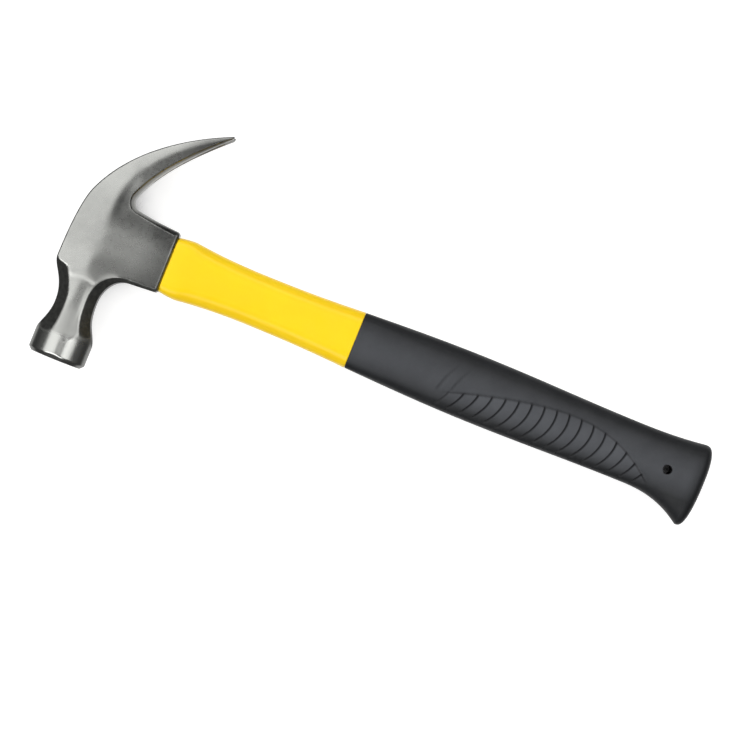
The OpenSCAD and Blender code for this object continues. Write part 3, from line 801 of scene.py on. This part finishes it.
def stadium(angles, half_w, half_t):
    """Flat-sided section with full-round edges: y and z in each direction from the middle."""
    c, s = np.abs(np.cos(angles)), np.abs(np.sin(angles))
    shift = half_w - half_t
    flat = half_t / np.maximum(s, 1e-9)
    under = np.maximum(half_t ** 2 - (shift * s) ** 2, 0)
    round_end = shift * c + np.sqrt(under)
    radius = np.where(flat * c <= shift, flat, round_end)
    return radius * np.cos(angles), radius * np.sin(angles)


def oval(angles, half_y, half_z, power):
    """Rounded section: y and z in each direction from the middle."""
    c, s = np.cos(angles), np.sin(angles)
    radius = (np.abs(c / half_y) ** power + np.abs(s / half_z) ** power) ** (-1 / power)
    return radius * c, radius * s


def chamfered(angles, half_w, half_t, chamfer, power=16):
    """Flat faces joined by broad soft bevels."""
    c, s = np.abs(np.cos(angles)), np.abs(np.sin(angles))
    corner = half_w + half_t - chamfer
    radius = ((c / half_w) ** power + (s / half_t) ** power + ((c + s) / corner) ** power) ** (-1 / power)
    return radius * np.cos(angles), radius * np.sin(angles)


def ring(x, section):
    y, z = section
    return np.stack([np.broadcast_to(x, y.shape), y, z], 1)


def core_hole(x, angles):
    return ring(x, stadium(angles, CORE_HALF_W + BOND_LINE, CORE_HALF_T + BOND_LINE))


def sleeve(x, angles, gap=0.0):
    return ring(x, oval(angles, SLEEVE_HALF_W + gap, SLEEVE_HALF_T + gap, SLEEVE_POWER))


def build_core(material):
    angles = even_angles(lambda a: stadium(a, CORE_HALF_W, CORE_HALF_T), 96)
    rounding = 0.35
    rows = [(CORE_FROM, rounding + inset) for inset in (4.4, 3.4, 2.4, 1.4, 0.6, 0.0)]
    rows += [(CORE_FROM + rounding * (1 - math.cos(a)), rounding * (1 - math.sin(a)))
             for a in np.linspace(0.3, math.pi / 2, 5)]
    rows += [(x, 0.0) for x in np.linspace(CORE_FROM + 8, CORE_TO, 60)]
    rings = [ring(x, stadium(angles, CORE_HALF_W - inset, CORE_HALF_T - inset)) for x, inset in rows]
    return make_piece("core_rod", *ring_solid(rings), material, "core", "fibreglass")


def build_eye_bond(material):
    """Resin around the core in the eye, with a hollow surface that creeps up both walls at the crown."""
    angles = even_angles(lambda a: oval(a, 11.2, 7.4, EYE_POWER), 128)

    def outer(x):
        wide, thick = eye_half(x)
        return ring(x, oval(angles, wide - BOND_LINE, thick - BOND_LINE, EYE_POWER))

    rings = [outer(x) for x in np.linspace(CORE_FROM, MOUTH, 24)]
    rings += [core_hole(x, angles) for x in np.linspace(MOUTH, CORE_FROM, 24)]
    for share in np.linspace(0, 1, 12)[1:-1]:
        hollow = CORE_FROM + 1.1 * (1 - (2 * share - 1) ** 4)
        rings.append(blend(core_hole(hollow, angles), outer(hollow), share))
    return make_piece("eye_resin", *ring_solid(rings, closed_rows=True), material, "eye_bond", "epoxy")


def jacket_size(x, mouth, shoulder, waist, rear):
    """A half size of the jacket along its length."""
    out = np.sin(progress(x, JACKET_FROM, SHOULDER_X) * math.pi / 2)
    to_waist = progress(x, WAIST_X, SHOULDER_X) ** 2.2
    to_grip = progress(x, WAIST_X, GRIP_AT) ** 2.2
    if x < SHOULDER_X:
        return blend(mouth, shoulder, out)
    return blend(waist, shoulder, to_waist) if x < WAIST_X else blend(waist, rear, to_grip)


def build_jacket(material):
    seam = [0.012, 0.03, 0.05]
    seam = [a + s for a in (0, math.pi) for s in [-b for b in seam] + [0] + seam]
    angles = even_angles(lambda a: chamfered(a, 13.0, 9.8, 3.8), 150, np.mod(seam, 2 * math.pi))

    def skin(x, less=0.0):
        half_w = jacket_size(x, *JACKET_HALF_W) - less
        half_t = jacket_size(x, *JACKET_HALF_T) - less
        chamfer = blend(2.2, 4.3, ease((x - JACKET_FROM) / 16))
        chamfer = blend(chamfer, REAR_CHAMFER, ease((x - 90) / 40))
        y, z = chamfered(angles, half_w, half_t, chamfer)
        y = y + SEAM_HEIGHT * np.sign(y) * np.exp(-(z / SEAM_HALF) ** 2)
        return ring(x, (y, z))

    lip = 0.5
    rings = [skin(JACKET_FROM + lip * (1 - math.sin(a)), lip * (1 - math.cos(a)))
             for a in np.linspace(math.pi / 2, 0, 6)]
    rings += [skin(x) for x in np.linspace(JACKET_FROM + 1, GRIP_AT - 0.4, 150)]
    rings.append(skin(GRIP_AT, 0.12))
    rings += [sleeve(x, angles) for x in (GRIP_AT, CORE_TO)]
    rings += [core_hole(x, angles) for x in (CORE_TO, JACKET_FROM)]
    return make_piece("jacket_shell", *ring_solid(rings, closed_rows=True), material, "jacket", "jacket")


# Grip

def swell(x, front, belly, wrist):
    to_belly = np.sin(progress(x, GRIP_AT, BELLY_X) * math.pi / 2)
    to_wrist = (1 - np.cos(progress(x, BELLY_X, WRIST_X) * math.pi)) / 2
    return np.where(x < BELLY_X, blend(front, belly, to_belly), blend(belly, wrist, to_wrist))


def flared(x, rise, power):
    return rise * progress(x, WRIST_X, ROUND_X) ** power


def grip_sizes(x):
    """Height above and below the handle axis, and half thickness, before the butt's rounding."""
    width = swell(x, *GRIP_HALF_W)
    return (width + flared(x, *BUTT_UP), width + flared(x, *BUTT_DOWN),
            swell(x, *GRIP_HALF_T) + flared(x, *BUTT_SIDE))


def bend_share(x):
    return ease((x - GRIP_AT) / (SCALE_FROM - GRIP_AT)) * (1 - ease((x - SCALE_TO) / (ROUND_X - SCALE_TO)))


def grip_ring(x, angles, size=1.0):
    """One ring of the smooth grip, bent along the scale lines."""
    up, down, half = grip_sizes(x)
    y, z = oval(angles, np.where(np.cos(angles) > 0, up, down), half, GRIP_ROUND)
    joint = chamfered(angles, up, half, REAR_CHAMFER)
    y, z = (blend(a, b, ease((x - GRIP_AT) / 34)) for a, b in zip(joint, (y, z)))
    at = x - bend_share(x) * BEND * (y - BEND_FROM) ** 2
    up_at, down_at, half_at = grip_sizes(at)
    y = y * np.where(y > 0, up_at / up, down_at / down)
    return np.stack([at, y * size, z * half_at / half * size], 1)


def scale_ribs_tree():
    """Geometry nodes: sinks a leaf of overlapping scales into the grip's smooth surface."""
    sizes = [("Pitch", SCALE_PITCH), ("First line", SCALE_FROM), ("Count", float(SCALE_COUNT)),
             ("Depth", 0.55), ("Groove", 0.6), ("Leaf depth", 0.3), ("Foot", -15.0),
             ("Bend", BEND), ("Bend from", BEND_FROM),
             ("Leaf top", 6.2), ("Leaf height", 15.5), ("Leaf from", 172.3), ("Leaf middle", 241.0),
             ("Leaf end", 285.0), ("Soft edge", 0.9),
             ("Bead", 0.22), ("Sweep from", 178.4), ("Sweep gap", 6.2), ("Sweep lean", 0.38),
             ("Sweep curve", 0.013), ("Sweep depth", 0.34)]
    tree, given, result = new_group(
        "scale_ribs", "GeometryNodeTree",
        [("Geometry", "NodeSocketGeometry", None)] + [(n, "NodeSocketFloat", v) for n, v in sizes]
        + [("Material", "NodeSocketMaterial", None)],
        [("Geometry", "NodeSocketGeometry")])
    size = given.outputs

    def calc(operation, a, b=0.0):
        return math_node(tree, operation, a, b)

    def times(first, *others):
        for other in others:
            first = calc("MULTIPLY", first, other)
        return first

    def between(value, start, full, hold, end):
        return times(spread(tree, value, start, full), spread(tree, value, hold, end, 1.0, 0.0))

    place = put(tree, "ShaderNodeSeparateXYZ", {
        0: put(tree, "GeometryNodeInputPosition").outputs[0]}).outputs
    x, y = place["X"], place["Y"]
    below = calc("SUBTRACT", y, size["Bend from"])
    unbent = calc("ADD", x, times(below, below, size["Bend"]))
    lines = calc("DIVIDE", calc("SUBTRACT", unbent, size["First line"]), size["Pitch"])
    phase = calc("FRACT", lines)
    climb = put(tree, "ShaderNodeFloatCurve", {"Value": phase})
    curve = climb.mapping.curves[0]
    for where, deep in ((0.2, 0.68), (0.42, 0.4), (0.7, 0.13), (0.9, 0.0)):
        curve.points.new(where, deep)
    curve.points[0].location = (0.0, 1.0)
    curve.points[-1].location = (1.0, 0.06)
    climb.mapping.update()
    groove = times(size["Groove"], spread(tree, phase, 0.06, 0.22, 1.0, 0.0))
    sunk = calc("ADD", times(size["Depth"], climb.outputs[0]), groove)
    sunk = calc("ADD", sunk, size["Leaf depth"])
    before = calc("DIVIDE", calc("SUBTRACT", size["Leaf middle"], x),
                  calc("SUBTRACT", size["Leaf middle"], size["Leaf from"]))
    after = calc("DIVIDE", calc("SUBTRACT", x, size["Leaf middle"]),
                 calc("SUBTRACT", size["Leaf end"], size["Leaf middle"]))
    fall = calc("ADD", calc("POWER", calc("MAXIMUM", before, 0.0), 1.55),
                calc("POWER", calc("MAXIMUM", after, 0.0), 2.45))
    leaf_edge = calc("SUBTRACT", size["Leaf top"], times(size["Leaf height"], fall))
    inside = calc("SUBTRACT", leaf_edge, y)
    in_leaf = spread(tree, inside, 0.0, size["Soft edge"])
    in_lines = times(spread(tree, lines, 0.2, 1.8),
                     spread(tree, calc("SUBTRACT", size["Count"], lines), 0.0, 0.4))
    bead = times(between(inside, -2.4, -0.9, -0.7, 0.2), size["Bead"], in_lines)
    above_foot = spread(tree, calc("SUBTRACT", y, size["Foot"]), 0.0, 3.0)
    in_leaf = times(in_leaf, in_lines, above_foot)
    lean = calc("ADD", size["Sweep lean"], times(y, size["Sweep curve"]))
    sweeps = calc("SUBTRACT", calc("SUBTRACT", x, times(y, lean)), size["Sweep from"])
    from_sweep = calc("ABSOLUTE", calc("PINGPONG", sweeps, times(size["Sweep gap"], 0.5)))
    sweep = times(spread(tree, from_sweep, 0.1, 1.1, 1.0, 0.0), size["Sweep depth"],
                  spread(tree, inside, -0.8, 0.0, 1.0, 0.0),
                  between(sweeps, -2.0, -1.0, 8.0, 9.0), between(y, -10.0, -5.0, 4.0, 9.0))
    depth = calc("ADD", calc("SUBTRACT", times(sunk, in_leaf), bead), sweep)
    inward = put(tree, "ShaderNodeVectorMath", {0: put(tree, "GeometryNodeInputNormal").outputs[0],
                                                "Scale": times(depth, -1.0)}, operation="SCALE")
    # Painted shade for the rubber's colour: dark behind each scale line, along the leaf's edge and in the
    # sweeps, stored as sunk; raised is the rest of the leaf
    rim_line = times(spread(tree, inside, -0.2, 0.2), spread(tree, inside, 0.6, 1.2, 0.4, 0.0), in_lines)
    shaded = times(spread(tree, phase, 0.08, 0.2, 0.75, 0.0), in_leaf)
    shaded = calc("ADD", calc("MAXIMUM", shaded, rim_line), sweep)
    marked = size["Geometry"]
    for label, value in (("sunk", shaded), ("raised", calc("SUBTRACT", in_leaf, shaded))):
        marked = put(tree, "GeometryNodeStoreNamedAttribute", {
            "Geometry": marked, "Name": label, "Value": value},
            data_type="FLOAT", domain="POINT").outputs[0]
    moved = put(tree, "GeometryNodeSetPosition", {"Geometry": marked, "Offset": inward.outputs[0]})
    real = put(tree, "GeometryNodeRealizeInstances", {"Geometry": moved.outputs[0]})
    painted = put(tree, "GeometryNodeSetMaterial", {
        "Geometry": real.outputs[0], "Material": size["Material"]})
    tree.links.new(painted.outputs[0], result.inputs["Geometry"])
    return tree


def keep_result(piece):
    """Makes what a piece's modifiers give its plain mesh, and takes the modifiers off."""
    settled = piece.evaluated_get(bpy.context.evaluated_depsgraph_get())
    mesh = bpy.data.meshes.new_from_object(settled)
    piece.modifiers.clear()
    old = piece.data
    piece.data = mesh
    bpy.data.meshes.remove(old)


def run_tree(piece, tree, **values):
    """Runs a geometry nodes tree on a piece."""
    modifier = piece.modifiers.new(tree.name, "NODES")
    modifier.node_group = tree
    for socket in tree.interface.items_tree:
        if socket.in_out == "INPUT" and socket.name in values:
            modifier[socket.identifier] = values[socket.name]
    keep_result(piece)


def hole_cutter():
    """Round hole through the butt, with a rolled lip at both surfaces."""
    half = float(grip_sizes(np.array(HOLE_X))[2])
    lip = 0.5
    profile = [(HOLE_RADIUS + 2.2, half + 2)]
    for a in np.linspace(math.pi / 2, 0, 6):
        past_lip = 0.2 if a > 1.5 else 0.0
        profile.append((HOLE_RADIUS + lip * (1 - math.cos(a)) + past_lip, half - lip + lip * math.sin(a)))
    profile += [(r, -z) for r, z in profile[::-1]]
    turns = np.linspace(0, 2 * math.pi, 65)[:-1]
    rings = [np.stack([HOLE_X + r * np.cos(turns), HOLE_Y + r * np.sin(turns), np.full(64, z)], 1)
             for r, z in profile]
    return new_object("hole_cutter", *ring_solid(rings))


def cut_hole(piece):
    cutter = hole_cutter()
    cut = piece.modifiers.new("hang_hole", "BOOLEAN")
    cut.operation, cut.object, cut.solver = "DIFFERENCE", cutter, "EXACT"
    keep_result(piece)
    bpy.data.objects.remove(cutter)


def paint_sheen(mesh):
    """Writes the painted sheen that lightens the rubber: along the flats facing up, a little more on the
    scale faces, and not in the hole or on the edges; the hole gets painted shade.
    """
    x, y, _ = (read_points(mesh, "co") * 1000 - DRAWING_TO_PART).T
    flat = ease((np.abs(read_points(mesh, "normal")[:, 2]) - 0.3) / 0.5)
    side = (y + 2.5) / np.where(y > -2.5, 13.5, 10.0)
    sunk, raised = np.empty((2, len(x)), np.float32)
    mesh.attributes["sunk"].data.foreach_get("value", sunk)
    mesh.attributes["raised"].data.foreach_get("value", raised)
    # Painted sheen: a band along the flats a little below the axis, fading at the butt, brighter on the
    # scale faces
    painted_sheen = np.clip(1 - side ** 2, 0, 1) * flat * ease((BUTT_END - 1 - x) / 8)
    painted_sheen = painted_sheen * (0.95 + 0.4 * np.clip(raised, 0, 1))
    in_hole = np.hypot(x - HOLE_X, y - HOLE_Y) < HOLE_RADIUS + 0.3
    write_layer(mesh, "painted_sheen", np.where(in_hole, 0, painted_sheen))
    # Painted shade fills the hole
    mesh.attributes["sunk"].data.foreach_set("value", np.where(in_hole, 1, sunk).astype(np.float32))


def build_grip(material):
    angles = even_angles(lambda a: oval(a, 16.0, 12.4, 3), 176)
    front = GRIP_AT + BOND_LINE
    lip = 0.6
    rings = [sleeve(x, angles, BOND_LINE) for x in (CORE_TO + BOND_LINE, front)]
    for a in np.linspace(math.pi / 2, 0, 5):
        edge = grip_ring(front + lip * (1 - math.sin(a)), angles)
        edge[:, 1:] *= 1 - 0.04 * (1 - math.cos(a))
        rings.append(edge)
    rings += [grip_ring(x, angles) for x in np.linspace(front + 1.2, SCALE_FROM - 0.4, 84)]
    steps = [0.004, 0.035, 0.075, 0.12, 0.19, 0.28, 0.39, 0.52, 0.66, 0.8, 0.9, 0.96, 0.996]
    rings += [grip_ring(SCALE_FROM + SCALE_PITCH * (n + s), angles)
              for n in range(SCALE_COUNT) for s in steps]
    rings += [grip_ring(x, angles) for x in np.linspace(SCALE_TO + 0.1, ROUND_X, 36)]
    for turn in np.linspace(0, math.pi / 2, 16)[1:-1]:
        size = math.cos(turn)
        reach = (1 - size ** 2.4) ** (1 / 3)
        rings.append(grip_ring(ROUND_X + (BUTT_END - ROUND_X) * reach, angles, size))
    rings.append(grip_ring(BUTT_END, angles, 0.04))
    piece = new_object("rubber_grip", *ring_solid(rings))
    run_tree(piece, scale_ribs_tree(), Material=material)
    cut_hole(piece)
    piece.data.vertices.foreach_set("co", to_part(read_points(piece.data, "co")).ravel())
    piece.data.polygons.foreach_set("use_smooth", [True] * len(piece.data.polygons))
    piece.data.update()
    piece.data.set_sharp_from_angle(angle=math.radians(50))
    paint_sheen(piece.data)
    return dress(piece, material, "grip")


# Studio

AIM = Vector((-0.00795, -0.01215, 0.015))
CAMERA_TURN = math.radians(22.1)
CAMERA_DISTANCE, FRAME_WIDTH, SENSOR_WIDTH = 2.5, 0.3532, 36.0
FLOOR_HALF, FLOOR_GREY, FLOOR_GLOW = 9.0, 0.6, 0.7
# The white floor shows in the steel up to the first distance and fades out by the second, in metres
MIRRORED_UP_TO, MIRRORED_BEYOND = 0.024, 0.044
# On the poll's side of this line only a share of it shows; the change takes a soft stretch
POLL_SIDE_Y, POLL_SIDE_SOFT, POLL_SIDE_SHARE = -0.05, 0.01, 0.33
# Soft lamps: name, azimuth, angle from overhead, distance, width, height and radiance
SOFTBOXES = [
    ("crown_side_box", 165, 36, 1.1, 1.3, 0.84, 1.28),
    ("butt_side_box", 22, 30.5, 1.1, 0.82, 0.86, 1.65),
    ("claw_side_box", 95, 54, 1.2, 1.4, 0.6, 2.0),
    ("poll_side_box", 250, 50, 1.2, 1.2, 0.7, 2.6),
    ("overhead_box", 0, 0, 2.4, 0.6, 0.6, 0.65)]


def set_camera():
    lens = bpy.data.cameras.new("side_view")
    lens.sensor_width = SENSOR_WIDTH
    lens.lens = SENSOR_WIDTH * CAMERA_DISTANCE / FRAME_WIDTH
    camera = bpy.data.objects.new("side_view", lens)
    camera.location = AIM + Vector((0, 0, CAMERA_DISTANCE))
    camera.rotation_euler = (0, 0, CAMERA_TURN)
    bpy.context.scene.collection.objects.link(camera)
    bpy.context.scene.camera = camera


def softbox(name, azimuth, from_zenith, distance, width, height, radiance):
    """A soft lamp that faces the hammer; its width lies level."""
    lamp = bpy.data.lights.new(name, "AREA")
    lamp.shape = "RECTANGLE"
    lamp.size, lamp.size_y = width, height
    lamp.energy = radiance * math.pi * width * height
    holder = bpy.data.objects.new(name, lamp)
    a, t = math.radians(azimuth), math.radians(from_zenith)
    away = Vector((math.sin(t) * math.cos(a), math.sin(t) * math.sin(a), math.cos(t)))
    holder.location = away * distance
    holder.rotation_euler = away.to_track_quat("Z", "Y").to_euler()
    bpy.context.scene.collection.objects.link(holder)


def seen_white(tree, glossy_share):
    """1 for what the camera sees, less for reflections, 0 for light that falls on the hammer."""
    path = put(tree, "ShaderNodeLightPath").outputs
    mirrored = math_node(tree, "MULTIPLY", path["Is Glossy Ray"], glossy_share)
    direct = math_node(tree, "MAXIMUM", path["Is Camera Ray"], path["Is Transmission Ray"])
    return math_node(tree, "MAXIMUM", direct, mirrored)


def pale_floor():
    """White to the camera and in near reflections, grey for the light it throws back, with a painted shadow
    where the hammer covers it.
    """
    finish, tree, shader = new_finish("pale_floor", roughness=0.9, specular_ior_level=0.0,
                                      emission_color=(1, 1, 1, 1))
    path = put(tree, "ShaderNodeLightPath").outputs
    close = spread(tree, path["Ray Length"], MIRRORED_UP_TO, MIRRORED_BEYOND, 1.0, 0.1)
    place = put(tree, "ShaderNodeSeparateXYZ", {
        0: put(tree, "ShaderNodeNewGeometry").outputs["Position"]}).outputs
    close = math_node(tree, "MULTIPLY", close, spread(
        tree, place["Y"], POLL_SIDE_Y, POLL_SIDE_Y + POLL_SIDE_SOFT, POLL_SIDE_SHARE, 1.0))
    unseen = math_node(tree, "SUBTRACT", path["Is Glossy Ray"], close, clamp=True)
    # Painted shadow: where ambient occlusion finds the hammer close, the glow fades and the grey turns dark
    # to the camera
    open_sky = put(tree, "ShaderNodeAmbientOcclusion", {"Distance": 0.03}, samples=16).outputs["AO"]
    painted_shadow = math_node(tree, "MULTIPLY", path["Is Camera Ray"], spread(tree, open_sky, 0.0, 0.4, 1.0, 0.0))
    unseen = math_node(tree, "MAXIMUM", unseen, painted_shadow)
    grey = mix_colour(tree, unseen, (FLOOR_GREY,) * 3, (0.0, 0.0, 0.0))
    glow = math_node(tree, "MULTIPLY", seen_white(tree, close), FLOOR_GLOW)
    glow = math_node(tree, "MULTIPLY", glow, spread(tree, open_sky, 0.12, 0.4))
    wire(tree, shader, base_color=grey, emission_strength=glow)
    return finish


def set_studio():
    scene = bpy.context.scene
    scene.view_settings.view_transform = "Standard"
    world = bpy.data.worlds.new("studio")
    world.use_nodes = True
    scene.world = world
    tree = world.node_tree
    back = tree.nodes["Background"]
    back.inputs["Color"].default_value = (1, 1, 1, 1)
    share = seen_white(tree, 0.08)
    matt = put(tree, "ShaderNodeLightPath").outputs["Is Diffuse Ray"]
    tree.links.new(math_node(tree, "MAXIMUM", share, math_node(tree, "MULTIPLY", matt, 0.22)),
                   back.inputs["Strength"])

    corners = FLOOR_HALF * np.array([(-1, -1, 0), (1, -1, 0), (1, 1, 0), (-1, 1, 0)])
    floor = new_object("floor", corners, [(0, 1, 2, 3)])
    floor.location.z = -0.0002
    floor.data.materials.append(pale_floor())
    for box in SOFTBOXES:
        softbox(*box)


set_camera()
set_studio()
build_head(forged_steel())
build_core(cut_fibreglass())
build_eye_bond(poured_epoxy())
build_jacket(yellow_jacket())
build_grip(black_rubber())
